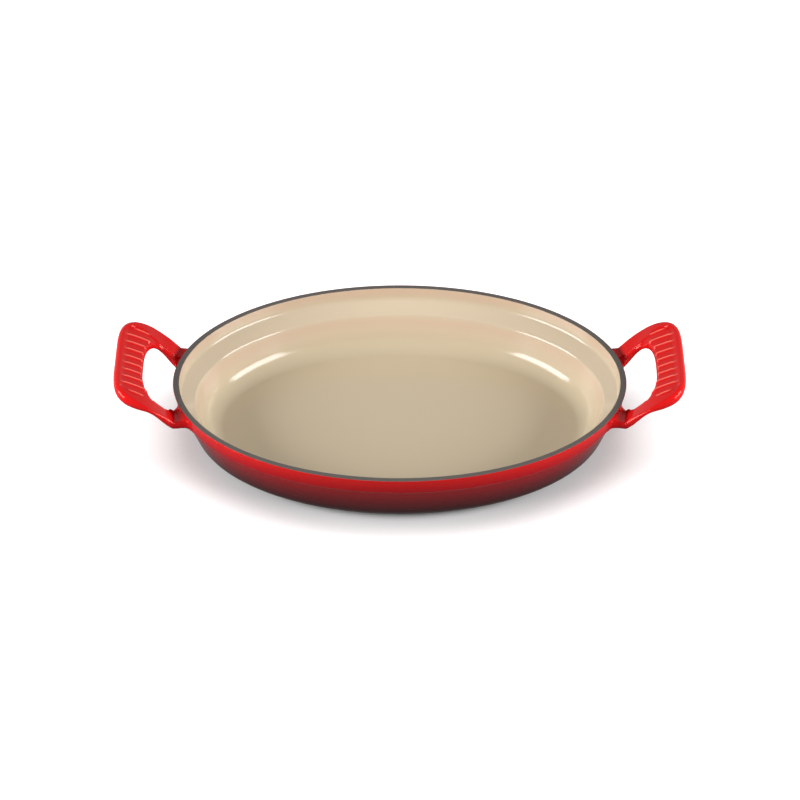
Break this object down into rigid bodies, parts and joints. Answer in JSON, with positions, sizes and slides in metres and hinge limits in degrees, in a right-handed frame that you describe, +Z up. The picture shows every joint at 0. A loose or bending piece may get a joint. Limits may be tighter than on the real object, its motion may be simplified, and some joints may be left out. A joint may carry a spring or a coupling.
{
  "type": "oval casserole dish",
  "caption": "Shallow oval enamelled cast-iron oven dish with a stepped wall, a dark rim band and a ribbed loop handle at each end.",
  "frame": {"origin": "on the surface that the dish stands on, below the middle of the bowl", "axes": "+X along the long axis and through both handles, +Y across the bowl, +Z up"},
  "size_m": [0.35, 0.21, 0.0585],
  "materials": {
    "bare_cast_iron": "bare grey-black iron, ground at the foot ring",
    "red_enamel": "glossy red vitreous enamel that darkens towards the base",
    "cream_enamel": "glossy sand-coloured vitreous enamel",
    "dark_rim_enamel": "satin dark grey ground coat, left uncovered on the rim",
    "red_enamelled_iron": "cast iron under glossy red vitreous enamel"
  },
  "bodies": {
    "root": {"iron_body": "bare_cast_iron", "exterior_enamel": "red_enamel", "base_enamel": "red_enamel", "interior_enamel": "cream_enamel", "rim_band": "dark_rim_enamel", "left_handle": "red_enamelled_iron", "right_handle": "red_enamelled_iron"}
  },
  "joints": []
}
